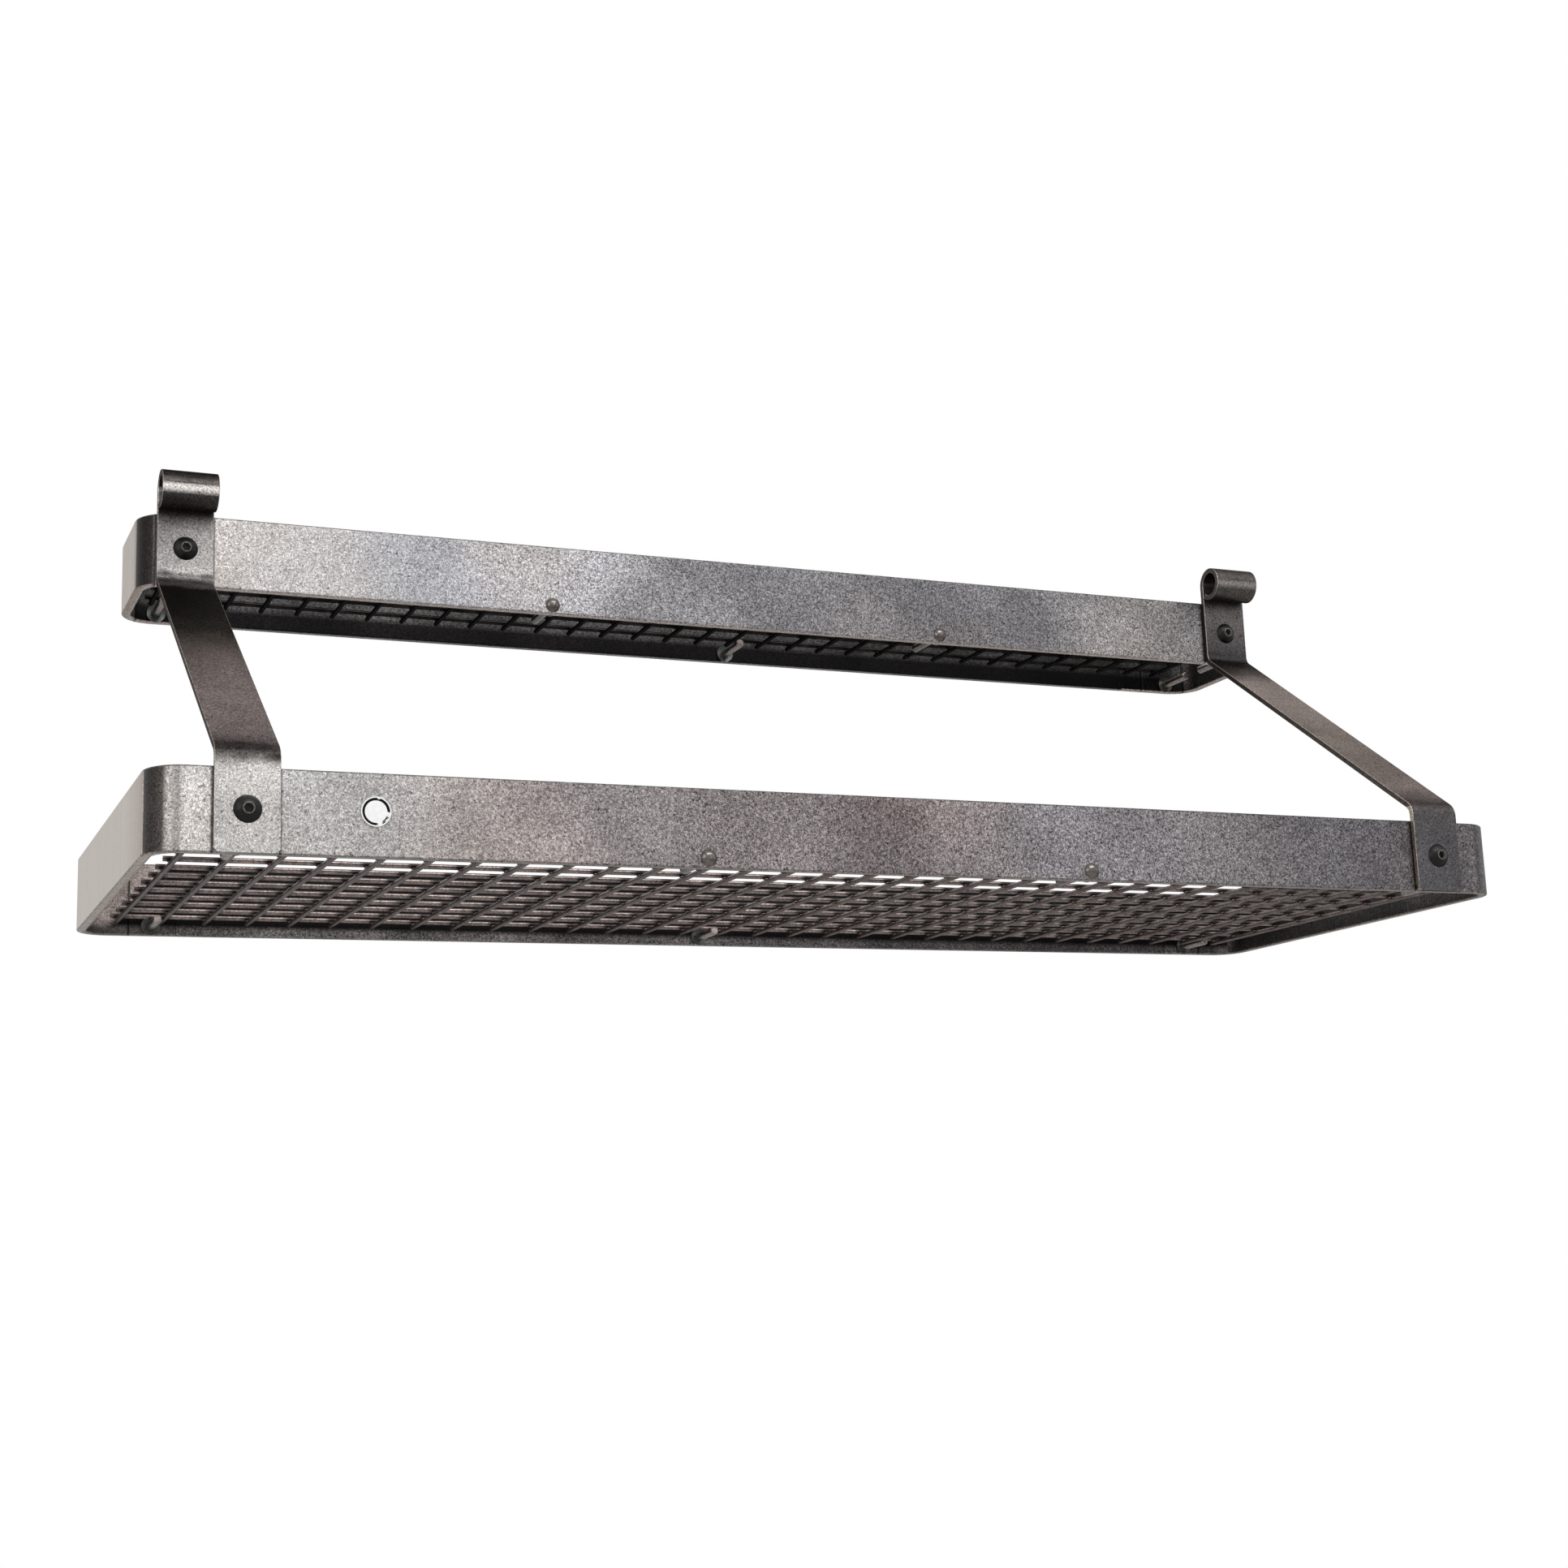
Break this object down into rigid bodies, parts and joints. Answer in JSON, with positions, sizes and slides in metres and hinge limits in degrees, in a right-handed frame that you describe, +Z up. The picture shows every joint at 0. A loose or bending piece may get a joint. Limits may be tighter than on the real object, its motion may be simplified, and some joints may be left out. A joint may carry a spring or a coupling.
{
  "type": "pot rack",
  "caption": "Two-tier wall-hung pot rack: deep lower and shallow upper bar-framed trays with lift-out wire grids, joined by bent straps with rolled eyes.",
  "frame": {"origin": "on the wall face, in the middle of the lower rear bar's height and length", "axes": "+X right along the wall, +Z up, +Y into the wall, so the rack stands out along -Y"},
  "size_m": [0.955, 0.3586, 0.3049],
  "materials": {
    "frame_steel": "hammered and brushed, clear coated",
    "weld": "dressed flush",
    "strap_steel": "hammered and brushed, clear coated",
    "black_screw": "satin black oxide",
    "plated_steel": "zinc plated",
    "support_steel": "bright",
    "washer_zinc": "greenish zinc",
    "grid_wire": "satin, warm grey",
    "badge_steel": "satin, bare face"
  },
  "bodies": {
    "rack": {"lower_hoop": "frame_steel", "lower_rear_bar": "frame_steel", "lower_frame_welds": "weld", "upper_hoop": "frame_steel", "upper_rear_bar": "frame_steel", "upper_frame_welds": "weld", "left_strap": "strap_steel", "right_strap": "strap_steel", "lower_left_strap_screw": "black_screw", "lower_left_lock_washer": "plated_steel", "lower_left_strap_nut": "plated_steel", "lower_right_strap_screw": "black_screw", "lower_right_lock_washer": "plated_steel", "lower_right_strap_nut": "plated_steel", "lower_dome_supports": "support_steel", "lower_covered_supports": "support_steel", "lower_rear_supports": "support_steel", "lower_retaining_washers": "washer_zinc", "upper_left_strap_screw": "black_screw", "upper_left_lock_washer": "plated_steel", "upper_left_strap_nut": "plated_steel", "upper_right_strap_screw": "black_screw", "upper_right_lock_washer": "plated_steel", "upper_right_strap_nut": "plated_steel", "upper_dome_supports": "support_steel", "upper_covered_supports": "support_steel", "upper_rear_supports": "support_steel", "upper_retaining_washers": "washer_zinc", "badge": "badge_steel"},
    "lower_grid": {"lower_grid_long_wires": "grid_wire", "lower_grid_cross_wires": "grid_wire"},
    "upper_grid": {"upper_grid_long_wires": "grid_wire", "upper_grid_cross_wires": "grid_wire"}
  },
  "joints": [
    {"name": "lower_grid_lift", "type": "slide", "parent": "rack", "child": "lower_grid", "axis": [0, 0, 1], "range_m": [0, 0.045]},
    {"name": "upper_grid_lift", "type": "slide", "parent": "rack", "child": "upper_grid", "axis": [0, 0, 1], "range_m": [0, 0.06]}
  ]
}
